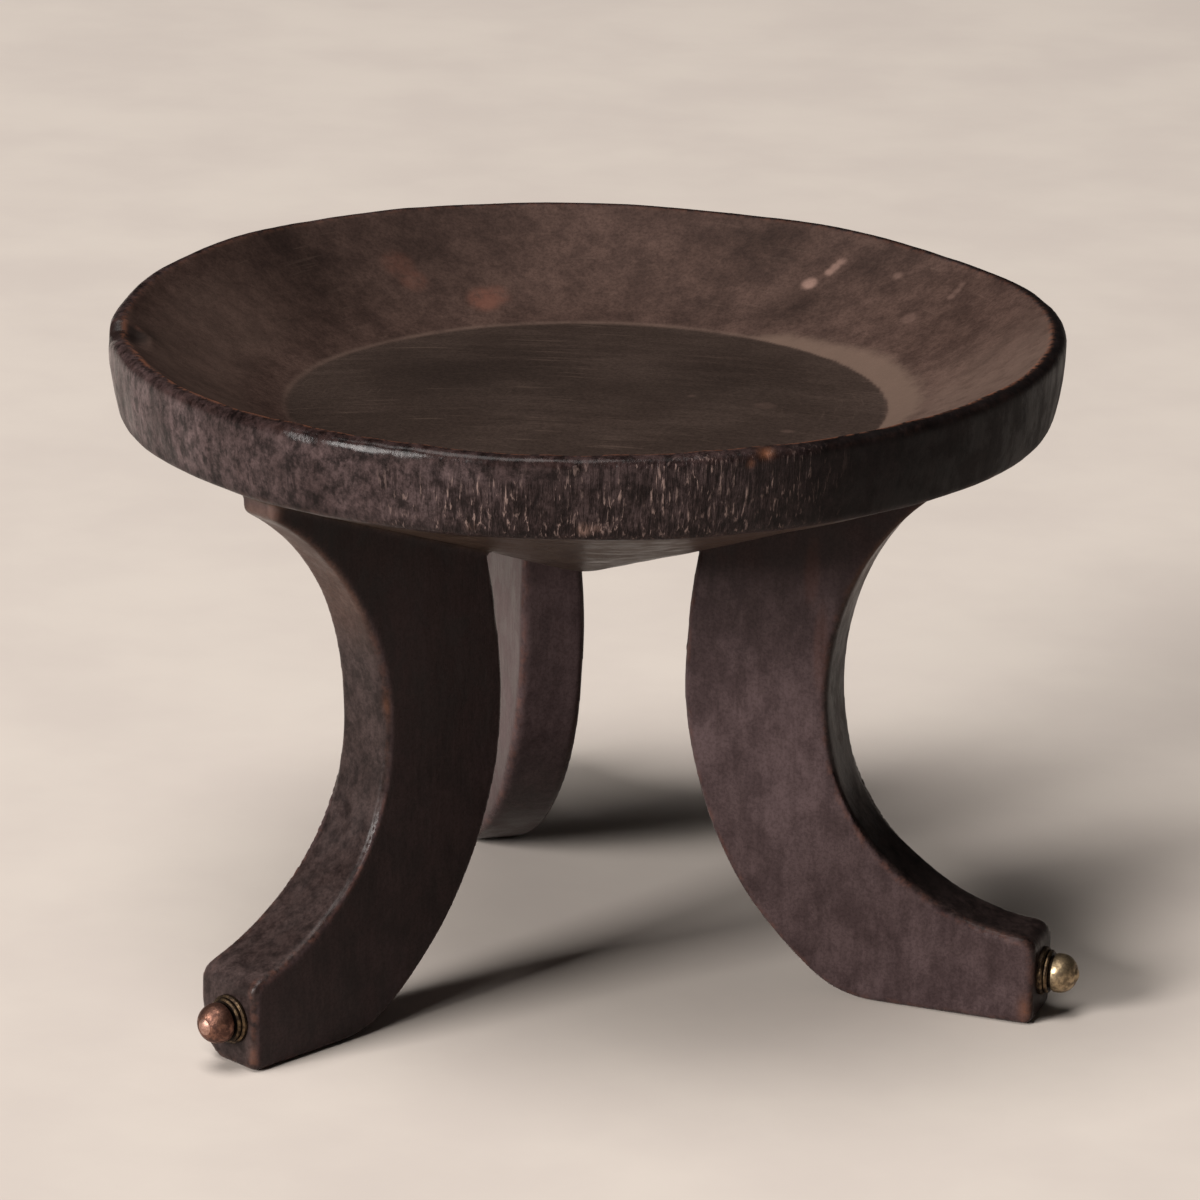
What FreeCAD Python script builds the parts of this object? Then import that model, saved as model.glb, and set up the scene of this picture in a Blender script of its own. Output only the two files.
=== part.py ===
import FreeCAD, Part
import math
import os
import Sketcher

# A low round stool carved from one block of wood: a dished seat on three splayed, bowed legs.
# Each foot ends in a turned metal fitting. Millimetres, +Z up.
# The origin lies on the floor, on the axis of the round seat.

doc = FreeCAD.newDocument("carved_stool")
sheet = doc.addObject("Spreadsheet::Sheet", "Sizes")

# Driving sizes
driving_sizes = [
    # seat
    ("rim_height", 230),
    ("seat_radius", 165),
    ("rim_crest_width", 5),
    ("crest_outer_share", 0.68),
    ("crest_inner_share", 0.16),
    ("rim_band_height", 28.5),
    ("rim_band_taper", 3),
    ("rim_band_bulge_radius", 90),
    ("rim_foot_round", 2.5),
    ("dish_depth", 28.5),
    ("dish_floor_radius", 104.5),
    ("dish_wall_radius", 230),
    ("underside_depth", 58.5),
    ("underside_flat_radius", 10),
    # legs, the same for all three
    ("leg_width", 24),
    ("leg_edge_round", 2.5),
    ("leg_corner_share", 1.3),
    ("heel_round", 40),
    ("toe_round", 6),
    ("waist_height", 110),
    ("neck_lean", 6),
    ("toe_height", 32),
    ("flare_tip_height", 5.5),
    ("leg_root_depth", 8),
    # legs, one by one, as the carver left them
    ("left_angle", 226),
    ("left_waist_inner", 51),
    ("left_waist_outer", 106.5),
    ("left_flare_setback", 7),
    ("left_heel", 116),
    ("left_toe_overhang", 3.5),
    ("right_angle", 341),
    ("right_waist_inner", 41.5),
    ("right_waist_outer", 94),
    ("right_flare_setback", 34),
    ("right_heel", 102),
    ("right_toe_overhang", 7.5),
    ("back_angle", 107),
    ("back_waist_inner", 36),
    ("back_waist_outer", 90),
    ("back_flare_setback", 16),
    ("back_heel", 114),
    ("back_toe_overhang", 5),
    # foot fittings
    ("stud_height", 17),
    ("fit_clearance", 0.05),
    ("collar_radius", 8.5),
    ("collar_thickness", 1.8),
    ("collar_bevel", 0.6),
    ("spigot_radius", 6),
    ("spigot_length", 8),
    ("washer_radius", 7.7),
    ("washer_thickness", 1.6),
    ("washer_bevel", 0.5),
    ("dome_radius", 6.7),
    ("dome_length", 7.5),
    ("dome_curve_radius", 6.2),
    ("dome_tip_radius", 3.2),
    ("neck_radius", 5.6),
    ("neck_length", 1.2),
    ("pin_radius", 2.5),
    ("pin_depth", 26),
    ("pin_point_length", 6),
    ("pin_tip_radius", 0.8),
    ("peen_radius", 2.8),
    ("peen_length", 1.1),
]
for row, (alias, value) in enumerate(driving_sizes, start=1):
    sheet.set(f"A{row}", alias.replace("_", " "))
    sheet.set(f"B{row}", str(value))
    sheet.setAlias(f"B{row}", alias)
doc.recompute()

LEGS = ["left", "right", "back"]
TOUCH = 1e-3  # points closer than this are the same point

# Heights and radii that follow from the driving sizes
BAND_LOW_RADIUS = "(Sizes.seat_radius - Sizes.rim_band_taper)"
BAND_LOW_HEIGHT = "(Sizes.rim_height - Sizes.rim_band_height)"
DISH_FLOOR_HEIGHT = "(Sizes.rim_height - Sizes.dish_depth)"
UNDERSIDE_LOW_HEIGHT = f"({BAND_LOW_HEIGHT} - Sizes.underside_depth)"
PIN_HOLE_RADIUS = "(Sizes.pin_radius + Sizes.fit_clearance)"
DOME_TOTAL = "(Sizes.neck_length + Sizes.dome_length)"
PIN_SHANK = f"(Sizes.pin_depth + Sizes.collar_thickness + Sizes.washer_thickness + {DOME_TOTAL})"


def underside_height(radius):
    """Height of the seat's conical underside at a radius, as an expression."""
    run = f"(({radius} - Sizes.underside_flat_radius) / ({BAND_LOW_RADIUS} - Sizes.underside_flat_radius))"
    return f"({UNDERSIDE_LOW_HEIGHT} + Sizes.underside_depth * {run})"


def toe_radius(side):
    """Radius of a foot's end face, which stands a little outside the rim."""
    return f"(Sizes.seat_radius + Sizes.{side}_toe_overhang)"


def value_of(expression):
    return float(sheet.evalExpression(expression))


def place(corner):
    return FreeCAD.Vector(value_of(corner[0]), value_of(corner[1]), 0)


def arc_middle(start, end, kind, amount):
    """Middle of the arc from start to end.

    kind "level": amount is the height of the arc's centre.
    kind "left" or "right": amount is the arc's radius, and kind is the side that its centre lies on.
    """
    chord = end - start
    chord_middle = (start + end) * 0.5
    if kind == "level":
        spread = start.x ** 2 - end.x ** 2 + (start.y - amount) ** 2 - (end.y - amount) ** 2
        centre = FreeCAD.Vector(spread / (2 * (start.x - end.x)), amount, 0)
    else:
        to_left = FreeCAD.Vector(-chord.y, chord.x, 0).normalize()
        offset = math.sqrt(amount ** 2 - (chord.Length / 2) ** 2)
        centre = chord_middle + to_left * (offset if kind == "left" else -offset)
    outward = (chord_middle - centre).normalize()
    return centre + outward * (start - centre).Length


def hold_point(sketch, geometry, position, corner):
    """Dimension a point of the sketch from the origin, or set it on the axis where it is at zero."""
    for axis, kind, expression in ((-2, "DistanceX", corner[0]), (-1, "DistanceY", corner[1])):
        if expression == "0":
            sketch.addConstraint(Sketcher.Constraint("PointOnObject", geometry, position, axis))
            continue
        distance = Sketcher.Constraint(kind, -1, 1, geometry, position, value_of(expression))
        index = sketch.addConstraint(distance)
        sketch.setExpression(f"Constraints[{index}]", expression)


def hold_curve(sketch, geometry, kind, expression):
    """Dimension an arc by the height of its centre or by its radius."""
    if expression == "0":
        sketch.addConstraint(Sketcher.Constraint("PointOnObject", geometry, 3, -1))
        return
    if kind == "level":
        shape = Sketcher.Constraint("DistanceY", -1, 1, geometry, 3, value_of(expression))
    else:
        shape = Sketcher.Constraint("Radius", geometry, value_of(expression))
    index = sketch.addConstraint(shape)
    sketch.setExpression(f"Constraints[{index}]", expression)


def draw_outline(sketch, corners, curves):
    """Closed outline through the corners; curves gives the sides that are arcs, by number."""
    points = [place(corner) for corner in corners]
    ends = []
    for side, start in enumerate(points):
        end = points[(side + 1) % len(points)]
        if side in curves:
            kind, expression = curves[side]
            middle = arc_middle(start, end, kind, value_of(expression))
            edge = Part.Arc(start, middle, end)
        else:
            edge = Part.LineSegment(start, end)
        geometry = sketch.addGeometry(edge, False)
        drawn_forward = sketch.getPoint(geometry, 1).distanceToPoint(start) < TOUCH
        ends.append((geometry, 1, 2) if drawn_forward else (geometry, 2, 1))
    for side, (geometry, first, _) in enumerate(ends):
        before, _, before_last = ends[side - 1]
        sketch.addConstraint(Sketcher.Constraint("Coincident", before, before_last, geometry, first))
        hold_point(sketch, geometry, first, corners[side])
        if side in curves:
            kind, expression = curves[side]
            hold_curve(sketch, geometry, kind, expression)


def new_body(label):
    body = doc.addObject("PartDesign::Body", label)
    body.Label = label
    return body


def new_sketch(body, name, plane_role):
    sketch = body.newObject("Sketcher::SketchObject", name)
    plane = next(item for item in body.Origin.OriginFeatures if item.Role == plane_role)
    sketch.AttachmentSupport = [(plane, "")]
    sketch.MapMode = "FlatFace"
    return sketch


def turned_body(label, corners, curves, axis):
    """A body turned about one axis of its outline's sketch."""
    body = new_body(label)
    sketch = new_sketch(body, f"{label}_outline", "XZ_Plane")
    draw_outline(sketch, corners, curves)
    turning = body.newObject("PartDesign::Revolution", f"{label}_turning")
    turning.Profile = sketch
    turning.ReferenceAxis = (sketch, [axis])
    turning.Angle = 360
    doc.recompute()
    return body, turning


def round_edges(body, feature, name, edge_names, radius):
    fillet = body.newObject("PartDesign::Fillet", name)
    fillet.Base = (feature, edge_names)
    fillet.setExpression("Radius", radius)
    doc.recompute()
    return fillet


def circle_names(shape, radius, height):
    """Names of the level circular edges of a given radius and height."""
    names = []
    for number, edge in enumerate(shape.Edges, start=1):
        point = edge.Vertexes[0].Point
        on_radius = abs(math.hypot(point.x, point.y) - radius) < TOUCH
        level = edge.BoundBox.ZLength < TOUCH
        if on_radius and level and abs(point.z - height) < TOUCH:
            names.append(f"Edge{number}")
    return names


def make_seat():
    """The seat: a thick disc with a flat-floored dish on top and a shallow cone below."""
    crest_inner = "(Sizes.seat_radius - Sizes.rim_crest_width)"
    corners = [
        ("0", UNDERSIDE_LOW_HEIGHT),
        ("Sizes.underside_flat_radius", UNDERSIDE_LOW_HEIGHT),
        (BAND_LOW_RADIUS, BAND_LOW_HEIGHT),
        ("Sizes.seat_radius", "Sizes.rim_height"),
        (crest_inner, "Sizes.rim_height"),
        ("Sizes.dish_floor_radius", DISH_FLOOR_HEIGHT),
        ("0", DISH_FLOOR_HEIGHT),
    ]
    curves = {
        2: ("left", "Sizes.rim_band_bulge_radius"),
        4: ("right", "Sizes.dish_wall_radius"),
    }
    body, turning = turned_body("seat", corners, curves, "V_Axis")
    # The worn outer edge of the crest is rounder than the inner one.
    inner_round = "Sizes.rim_crest_width * Sizes.crest_inner_share"
    outer_round = "Sizes.rim_crest_width * Sizes.crest_outer_share"
    roundings = [
        ("crest_inner", crest_inner, "Sizes.rim_height", inner_round),
        ("crest_outer", "Sizes.seat_radius", "Sizes.rim_height", outer_round),
        ("rim_foot", BAND_LOW_RADIUS, BAND_LOW_HEIGHT, "Sizes.rim_foot_round"),
    ]
    shaped = turning
    for name, edge_radius, edge_height, rounding in roundings:
        edge = circle_names(shaped.Shape, value_of(edge_radius), value_of(edge_height))
        shaped = round_edges(body, shaped, f"seat_{name}", edge, rounding)
    return body


def crossing_edges(shape, corners):
    """Names of the edges that run across a leg at the given corners of its outline."""
    points = [place(corner) for corner in corners]
    names = []
    for number, edge in enumerate(shape.Edges, start=1):
        first = edge.Vertexes[0].Point
        last = edge.Vertexes[-1].Point
        corner = FreeCAD.Vector(first.x, first.z, 0)
        runs_across = abs(first.y - last.y) > TOUCH
        if runs_across and any(corner.distanceToPoint(point) < TOUCH for point in points):
            names.append(f"Edge{number}")
    return names


def bore_toe(body, side, name, radius, depth):
    """Drill the foot's end grain on the stud's axis."""
    sketch = new_sketch(body, f"{side}_{name}_circle", "YZ_Plane")
    sketch.setExpression("AttachmentOffset.Base.z", toe_radius(side))
    centre = FreeCAD.Vector(0, value_of("Sizes.stud_height"), 0)
    circle = sketch.addGeometry(Part.Circle(centre, FreeCAD.Vector(0, 0, 1), value_of(radius)), False)
    hold_point(sketch, circle, 3, ("0", "Sizes.stud_height"))
    index = sketch.addConstraint(Sketcher.Constraint("Radius", circle, value_of(radius)))
    sketch.setExpression(f"Constraints[{index}]", radius)
    pocket = body.newObject("PartDesign::Pocket", f"{side}_{name}")
    pocket.Profile = sketch
    pocket.setExpression("Length", depth)
    doc.recompute()
    return pocket


def make_leg(side):
    """One bowed leg: every curved edge is an arc whose centre is level with the waist."""
    waist_inner = f"Sizes.{side}_waist_inner"
    waist_outer = f"Sizes.{side}_waist_outer"
    flare = f"({BAND_LOW_RADIUS} - Sizes.{side}_flare_setback)"
    heel = (f"Sizes.{side}_heel", "0")
    toe_low = (toe_radius(side), "0")
    toe_top = (toe_radius(side), "Sizes.toe_height")
    flare_low = (flare, f"{underside_height(flare)} - Sizes.flare_tip_height")
    flare_root = (flare, f"{underside_height(flare)} + Sizes.leg_root_depth")
    neck = f"({waist_inner} + Sizes.neck_lean)"
    neck_root = (neck, f"{underside_height(neck)} + Sizes.leg_root_depth")
    corners = [
        heel,
        toe_low,
        toe_top,
        (waist_outer, "Sizes.waist_height"),
        flare_low,
        flare_root,
        neck_root,
        (waist_inner, "Sizes.waist_height"),
    ]
    curved_sides = (2, 3, 6, 7)
    curves = {number: ("level", "Sizes.waist_height") for number in curved_sides}
    body = new_body(f"{side}_leg")
    sketch = new_sketch(body, f"{side}_leg_outline", "XZ_Plane")
    draw_outline(sketch, corners, curves)
    pad = body.newObject("PartDesign::Pad", f"{side}_leg_pad")
    pad.Profile = sketch
    pad.SideType = "Symmetric"
    pad.setExpression("Length", "Sizes.leg_width")
    doc.recompute()
    # The bow runs on into the sole over a wide rounding; the other corners are tighter.
    roundings = [
        ("heel", [heel], "Sizes.heel_round"),
        ("toe", [toe_top], "Sizes.toe_round"),
        ("corners", [toe_low, flare_low], "Sizes.leg_edge_round * Sizes.leg_corner_share"),
    ]
    shaped = pad
    for name, rounded_corners, rounding in roundings:
        edges = crossing_edges(shaped.Shape, rounded_corners)
        shaped = round_edges(body, shaped, f"{side}_leg_{name}", edges, rounding)
    # The edges of the sole run on smoothly round the whole leg, so rounding them rounds its sides.
    sole_edges = []
    for number, edge in enumerate(shaped.Shape.Edges, start=1):
        first = edge.Vertexes[0].Point
        last = edge.Vertexes[-1].Point
        runs_along = abs(first.y - last.y) < TOUCH
        if runs_along and max(first.z, last.z) < TOUCH:
            sole_edges.append(f"Edge{number}")
    round_edges(body, shaped, f"{side}_leg_edges", sole_edges, "Sizes.leg_edge_round")
    collar_bore_radius = "Sizes.spigot_radius + Sizes.fit_clearance"
    collar_bore_depth = "Sizes.spigot_length + Sizes.fit_clearance"
    bore_toe(body, side, "collar_bore", collar_bore_radius, collar_bore_depth)
    bore_toe(body, side, "pin_bore", PIN_HOLE_RADIUS, "Sizes.pin_depth + Sizes.fit_clearance")
    body.setExpression("Placement.Rotation.Angle", f"Sizes.{side}_angle * 1 deg")
    return body


def set_on_foot(body, side, inner_end):
    """Turn a fitting to its leg and slide it out to the radius where its inner end lies."""
    angle = f"(Sizes.{side}_angle * 1 deg)"
    body.setExpression("Placement.Base.x", f"({inner_end}) * cos({angle})")
    body.setExpression("Placement.Base.y", f"({inner_end}) * sin({angle})")
    body.setExpression("Placement.Base.z", "Sizes.stud_height")
    body.setExpression("Placement.Rotation.Angle", angle)


def make_collar(side):
    """Flanged collar: its spigot fills the bore and its flange lies on the end grain."""
    face = "Sizes.spigot_length + Sizes.collar_thickness"
    corners = [
        ("0", PIN_HOLE_RADIUS),
        ("0", "Sizes.spigot_radius"),
        ("Sizes.spigot_length", "Sizes.spigot_radius"),
        ("Sizes.spigot_length", "Sizes.collar_radius"),
        (f"{face} - Sizes.collar_bevel", "Sizes.collar_radius"),
        (face, "Sizes.collar_radius - Sizes.collar_bevel"),
        (face, PIN_HOLE_RADIUS),
    ]
    body, _ = turned_body(f"{side}_foot_collar", corners, {}, "H_Axis")
    set_on_foot(body, side, f"{toe_radius(side)} - Sizes.spigot_length")
    return body


def make_washer(side):
    """Loose ring on the collar, bevelled on both sides."""
    corners = [
        ("0", PIN_HOLE_RADIUS),
        ("0", "Sizes.washer_radius - Sizes.washer_bevel"),
        ("Sizes.washer_bevel", "Sizes.washer_radius"),
        ("Sizes.washer_thickness - Sizes.washer_bevel", "Sizes.washer_radius"),
        ("Sizes.washer_thickness", "Sizes.washer_radius - Sizes.washer_bevel"),
        ("Sizes.washer_thickness", PIN_HOLE_RADIUS),
    ]
    body, _ = turned_body(f"{side}_foot_washer", corners, {}, "H_Axis")
    set_on_foot(body, side, f"{toe_radius(side)} + Sizes.collar_thickness")
    return body


def make_dome(side):
    """Domed stud on a short neck, bored through for the pin."""
    corners = [
        ("0", PIN_HOLE_RADIUS),
        ("0", "Sizes.neck_radius"),
        ("Sizes.neck_length", "Sizes.neck_radius"),
        ("Sizes.neck_length", "Sizes.dome_radius"),
        (DOME_TOTAL, "Sizes.dome_tip_radius"),
        (DOME_TOTAL, PIN_HOLE_RADIUS),
    ]
    curves = {3: ("right", "Sizes.dome_curve_radius")}
    body, _ = turned_body(f"{side}_foot_dome", corners, curves, "H_Axis")
    stack = "Sizes.collar_thickness + Sizes.washer_thickness"
    set_on_foot(body, side, f"{toe_radius(side)} + {stack}")
    return body


def make_pin(side):
    """Pin driven into the foot, its outer end peened over the dome."""
    corners = [
        ("0", "0"),
        ("0", "Sizes.pin_tip_radius"),
        ("Sizes.pin_point_length", "Sizes.pin_radius"),
        (PIN_SHANK, "Sizes.pin_radius"),
        (PIN_SHANK, "Sizes.peen_radius"),
        (f"{PIN_SHANK} + Sizes.peen_length", "0"),
    ]
    curves = {4: ("level", "0")}
    body, _ = turned_body(f"{side}_foot_pin", corners, curves, "H_Axis")
    set_on_foot(body, side, f"{toe_radius(side)} - Sizes.pin_depth")
    return body


# The wood is one piece: the seat and the legs are carved from the same block.
stool_body = doc.addObject("Part::MultiFuse", "stool_body")
stool_body.Label = "stool_body"
stool_body.Shapes = [make_seat()] + [make_leg(side) for side in LEGS]

sub_parts = [stool_body]
for side in LEGS:
    sub_parts += [make_collar(side), make_washer(side), make_dome(side), make_pin(side)]
doc.recompute()

for item in doc.Objects:
    if "Invalid" in item.State or "Error" in item.State:
        raise RuntimeError(f"{item.Label} did not build: {item.State}")
os.makedirs("parts", exist_ok=True)
for part in sub_parts:
    if part.Shape.isNull() or not part.Shape.isValid():
        raise RuntimeError(f"{part.Label} has no sound shape")
    if len(part.Shape.Solids) != 1:
        raise RuntimeError(f"{part.Label} is not one solid")
    part.Shape.exportStep(f"parts/{part.Label}.step")
    print(part.Label, round(part.Shape.Volume), "cubic millimetres")
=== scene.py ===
import bmesh
import bpy
import math
import numpy as np
from mathutils import Matrix, noise
from types import SimpleNamespace


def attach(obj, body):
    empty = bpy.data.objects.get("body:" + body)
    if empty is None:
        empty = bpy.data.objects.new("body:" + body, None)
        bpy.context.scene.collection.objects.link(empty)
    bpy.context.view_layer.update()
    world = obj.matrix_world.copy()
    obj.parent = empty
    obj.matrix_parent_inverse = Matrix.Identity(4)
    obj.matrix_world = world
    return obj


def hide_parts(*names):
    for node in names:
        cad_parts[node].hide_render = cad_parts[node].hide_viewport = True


# A low carved stool: one body of old dark wood with a metal stud on each foot.
# Lengths in metres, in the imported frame; angles in degrees unless a comment says otherwise.
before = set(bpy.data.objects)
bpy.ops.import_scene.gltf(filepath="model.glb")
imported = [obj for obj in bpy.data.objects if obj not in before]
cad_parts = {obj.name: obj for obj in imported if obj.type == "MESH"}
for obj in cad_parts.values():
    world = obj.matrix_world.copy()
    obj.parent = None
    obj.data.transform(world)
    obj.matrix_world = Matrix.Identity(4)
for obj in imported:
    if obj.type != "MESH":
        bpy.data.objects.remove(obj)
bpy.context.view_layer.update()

# Main sizes of the wood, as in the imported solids
RIM_HEIGHT = 0.230
BAND_LOW_HEIGHT = 0.2015
DISH_FLOOR_RADIUS = 0.1045
CREST_INNER_RADIUS = 0.160
UNDERSIDE_LOW_HEIGHT, UNDERSIDE_RISE = 0.143, 0.0585
UNDERSIDE_FLAT_RADIUS, UNDERSIDE_RUN = 0.010, 0.152
LEG_HALF_WIDTH = 0.012
LEG_ANGLE = {"left": 226, "right": 341, "back": 107}
TOE_RADIUS = {"left": 0.1685, "right": 0.1725, "back": 0.170}

# How the wood is cut into an even mesh
WELD_DISTANCE = 1e-6
VOXEL_SIZE = 0.0011
SMOOTHING_PASSES = 2
SMOOTHING_SHARE = 0.5


def ramp(values, low, high):
    """Smooth step from 0 at low to 1 at high; low may be the larger."""
    share = np.clip((values - low) / (high - low), 0, 1)
    return share * share * (3 - 2 * share)


def plateau(values, start, rise, fall, end):
    """1 from rise to fall, with smooth steps from 0 at start and to 0 at end."""
    return ramp(values, start, rise) * ramp(values, end, fall)


def bell(values, middle, width):
    """1 at the middle, fading out at about width from it."""
    return np.exp(-((values - middle) / width) ** 2)


def noise_field(points, size, seed):
    """Noise from -1 to 1 whose lumps are about size across."""
    return np.array([noise.noise(point) for point in (points / size + seed).tolist()])


def cut_field(points, size, seed):
    """0 in the middle of each tool cut and about 1 on the ridges between cuts."""
    return np.array([noise.voronoi(point)[0][0] for point in (points / size + seed).tolist()])


def direction(azimuth, elevation):
    """Unit vector that points to an azimuth and an elevation."""
    turned, raised = math.radians(azimuth), math.radians(elevation)
    return np.array([
        math.cos(turned) * math.cos(raised),
        math.sin(turned) * math.cos(raised),
        math.sin(raised),
    ])


def add_object(name, data):
    """A new object in the scene."""
    added = bpy.data.objects.new(name, data)
    bpy.context.scene.collection.objects.link(added)
    return added


def even_copy(node, name):
    """A new object with the node's mesh, welded and cut into even quads."""
    mesh = node.data.copy()
    welded = bmesh.new()
    welded.from_mesh(mesh)
    bmesh.ops.remove_doubles(welded, verts=welded.verts, dist=WELD_DISTANCE)
    welded.to_mesh(mesh)
    welded.free()
    mesh.materials.clear()
    piece = add_object(name, mesh)
    remesh = piece.modifiers.new("even", "REMESH")
    remesh.mode = "VOXEL"
    remesh.voxel_size = VOXEL_SIZE
    evaluated = piece.evaluated_get(bpy.context.evaluated_depsgraph_get())
    piece.data = bpy.data.meshes.new_from_object(evaluated)
    piece.modifiers.clear()
    return piece


class Surface:
    """The points of a mesh as arrays, with what hangs on its edges."""

    def __init__(self, mesh):
        self.mesh = mesh
        self.points = np.empty(len(mesh.vertices) * 3, np.float32)
        mesh.vertices.foreach_get("co", self.points)
        self.points = self.points.reshape(-1, 3).astype(float)
        edges = np.empty(len(mesh.edges) * 2, np.int32)
        mesh.edges.foreach_get("vertices", edges)
        self.starts, self.ends = edges.reshape(-1, 2).T
        self.count = len(self.points)
        self.valence = np.bincount(self.starts, minlength=self.count)
        self.valence += np.bincount(self.ends, minlength=self.count)

    def neighbour_mean(self, values):
        """Mean of the values at the points that share an edge with each point."""
        total = np.bincount(self.starts, values[self.ends], self.count)
        total += np.bincount(self.ends, values[self.starts], self.count)
        return total / self.valence

    def spread(self, values, passes):
        for _ in range(passes):
            values = self.neighbour_mean(values)
        return values

    def smooth(self, passes, share):
        for _ in range(passes):
            means = np.column_stack([self.neighbour_mean(axis) for axis in self.points.T])
            self.points += (means - self.points) * share

    def store(self):
        self.mesh.vertices.foreach_set("co", self.points.astype(np.float32).ravel())
        self.mesh.update()

    def normals(self):
        self.store()
        flat = np.empty(self.count * 3, np.float32)
        self.mesh.vertex_normals.foreach_get("vector", flat)
        return flat.reshape(-1, 3).astype(float)

    def paint(self, name, values):
        """Keep values on the mesh, for the material to read."""
        layer = self.mesh.attributes.new(name, "FLOAT", "POINT")
        layer.data.foreach_set("value", np.clip(values, 0, 1).astype(np.float32))


def leg_coordinates(points, side):
    """Distance out along a leg and distance across it."""
    angle = math.radians(LEG_ANGLE[side])
    along = points[:, 0] * math.cos(angle) + points[:, 1] * math.sin(angle)
    across = points[:, 1] * math.cos(angle) - points[:, 0] * math.sin(angle)
    return along, across


def slide_across(points, side, distances):
    """Move points across a leg, towards the side where the distance across it is negative."""
    angle = math.radians(LEG_ANGLE[side])
    points[:, 0] += distances * math.sin(angle)
    points[:, 1] -= distances * math.cos(angle)


# Fades between the parts of the wood: where a part's share is 0, then where it is 1
CREST_TOP_RADII, CREST_TOP_HEIGHTS = (0.1592, 0.1608), (0.2250, 0.2285)
CREST_RADII, CREST_HEIGHTS = (0.155, 0.160), (RIM_HEIGHT - 0.007, RIM_HEIGHT - 0.001)
CREST_LINE_HEIGHTS = (0.2265, 0.2280)
DISH_HEIGHTS = (0.196, 0.200)
DISH_FLOOR_RADII = (DISH_FLOOR_RADIUS + 0.0012, DISH_FLOOR_RADIUS - 0.0012)
BAND_RADII, BAND_HEIGHTS = (0.157, 0.160), (BAND_LOW_HEIGHT - 0.002, BAND_LOW_HEIGHT + 0.001)
SHOULDER_HEIGHTS = (0.2195, 0.2235)
UNDERSIDE_HEIGHTS = (0.135, 0.140)
FRONT_DEPTHS = (0.2, -0.5)
LEG_SIDES, LEG_START, LEG_TOP = (0.0145, 0.0125), (0.015, 0.025), (0.199, 0.190)
BELOW_UNDERSIDE = (0.0005, 0.0030)
FROM_TOE_END = (0.010, 0.004)
FACING_UP, FACING_DOWN = (0.2, 0.6), (-0.3, -0.7)
FACING_OUT, FACING_AHEAD = (0.0, 0.2), (0.3, 0.7)

# Other limits of those parts
CREST_LINE_WIDTH = 0.0009
TOE_SIDE, TOE_TOP = 0.02, 0.04
RISING_SHARE = 0.6  # facing up counts this much as facing ahead
LEAST_RADIUS = 1e-6  # keeps the division safe on the axis

# Sectors of the seat, as turns about its axis: start, whole from, whole to, end
HANDLED_SECTOR = (-150, -130, -100, -80)
CRACKED_SECTOR = (-120, -100, -72, -56)
# the sector of the band with painted shade, its side turned from the key lamp
PAINTED_SHADE_SECTOR = (-80, -55, 80, 120)
NOTCH_SECTOR = (-177.5, -176.3, -174, -166.5)
DRIFT_SECTOR = (-30, -4, 18, 66)
HAZE_SECTOR = (-70, -30, -12, 18)
BACK_SECTOR = (15, 60, 150, 200)


class Places:
    """Where each part of the plain wood lies: a share from 0 to 1 at each point."""

    def __init__(self, surface):
        self.points = surface.points.copy()
        self.normals = surface.normals()
        self.radius = np.hypot(self.points[:, 0], self.points[:, 1])
        self.turn = np.degrees(np.arctan2(self.points[:, 1], self.points[:, 0]))
        self.height = self.points[:, 2]
        angles = np.radians(self.turn)
        self.circle = np.column_stack([np.cos(angles), np.sin(angles), np.zeros(surface.count)])
        self.front = ramp(self.circle[:, 1], *FRONT_DEPTHS)
        self.find_seat()
        self.find_legs()
        self.underside = ramp(self.normals[:, 2], *FACING_DOWN) * ramp(self.height, *UNDERSIDE_HEIGHTS)
        self.underside *= (1 - self.leg) * (1 - self.band)

    def find_seat(self):
        rising = self.normals[:, 2]
        outward = (self.points[:, :2] * self.normals[:, :2]).sum(axis=1)
        outward /= np.maximum(self.radius, LEAST_RADIUS)
        self.crest_top = ramp(self.radius, *CREST_TOP_RADII) * ramp(self.height, *CREST_TOP_HEIGHTS)
        self.crest = ramp(self.radius, *CREST_RADII) * ramp(self.height, *CREST_HEIGHTS)
        self.crest_line = bell(self.radius, CREST_INNER_RADIUS, CREST_LINE_WIDTH)
        self.crest_line *= ramp(self.height, *CREST_LINE_HEIGHTS)
        self.dish = ramp(rising, *FACING_UP) * ramp(self.height, *DISH_HEIGHTS) * (1 - self.crest_top)
        self.dish_floor = self.dish * ramp(self.radius, *DISH_FLOOR_RADII)
        band = ramp(outward, *FACING_OUT) * ramp(self.height, *BAND_HEIGHTS) * ramp(self.radius, *BAND_RADII)
        self.band = np.maximum(band, self.crest_top)
        self.shoulder = self.band * ramp(self.height, *SHOULDER_HEIGHTS)
        self.handled = plateau(self.turn, *HANDLED_SECTOR)

    def find_legs(self):
        self.leg = np.zeros(len(self.points))
        self.toe = np.zeros(len(self.points))
        self.outer_face = np.zeros(len(self.points))
        from_flat = self.radius - UNDERSIDE_FLAT_RADIUS
        underside_height = UNDERSIDE_LOW_HEIGHT + UNDERSIDE_RISE * from_flat / UNDERSIDE_RUN
        for side in LEG_ANGLE:
            along, across = leg_coordinates(self.points, side)
            leg = ramp(np.abs(across), *LEG_SIDES) * ramp(along, *LEG_START) * ramp(self.height, *LEG_TOP)
            leg *= ramp(underside_height - self.height, *BELOW_UNDERSIDE)
            ahead = leg_coordinates(self.normals, side)[0]
            ahead += RISING_SHARE * np.maximum(self.normals[:, 2], 0)
            toe = ramp(TOE_RADIUS[side] - along, *FROM_TOE_END) * (np.abs(across) < TOE_SIDE)
            self.leg = np.maximum(self.leg, leg)
            self.outer_face = np.maximum(self.outer_face, leg * ramp(ahead, *FACING_AHEAD))
            self.toe = np.maximum(self.toe, toe * (self.height < TOE_TOP))


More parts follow.
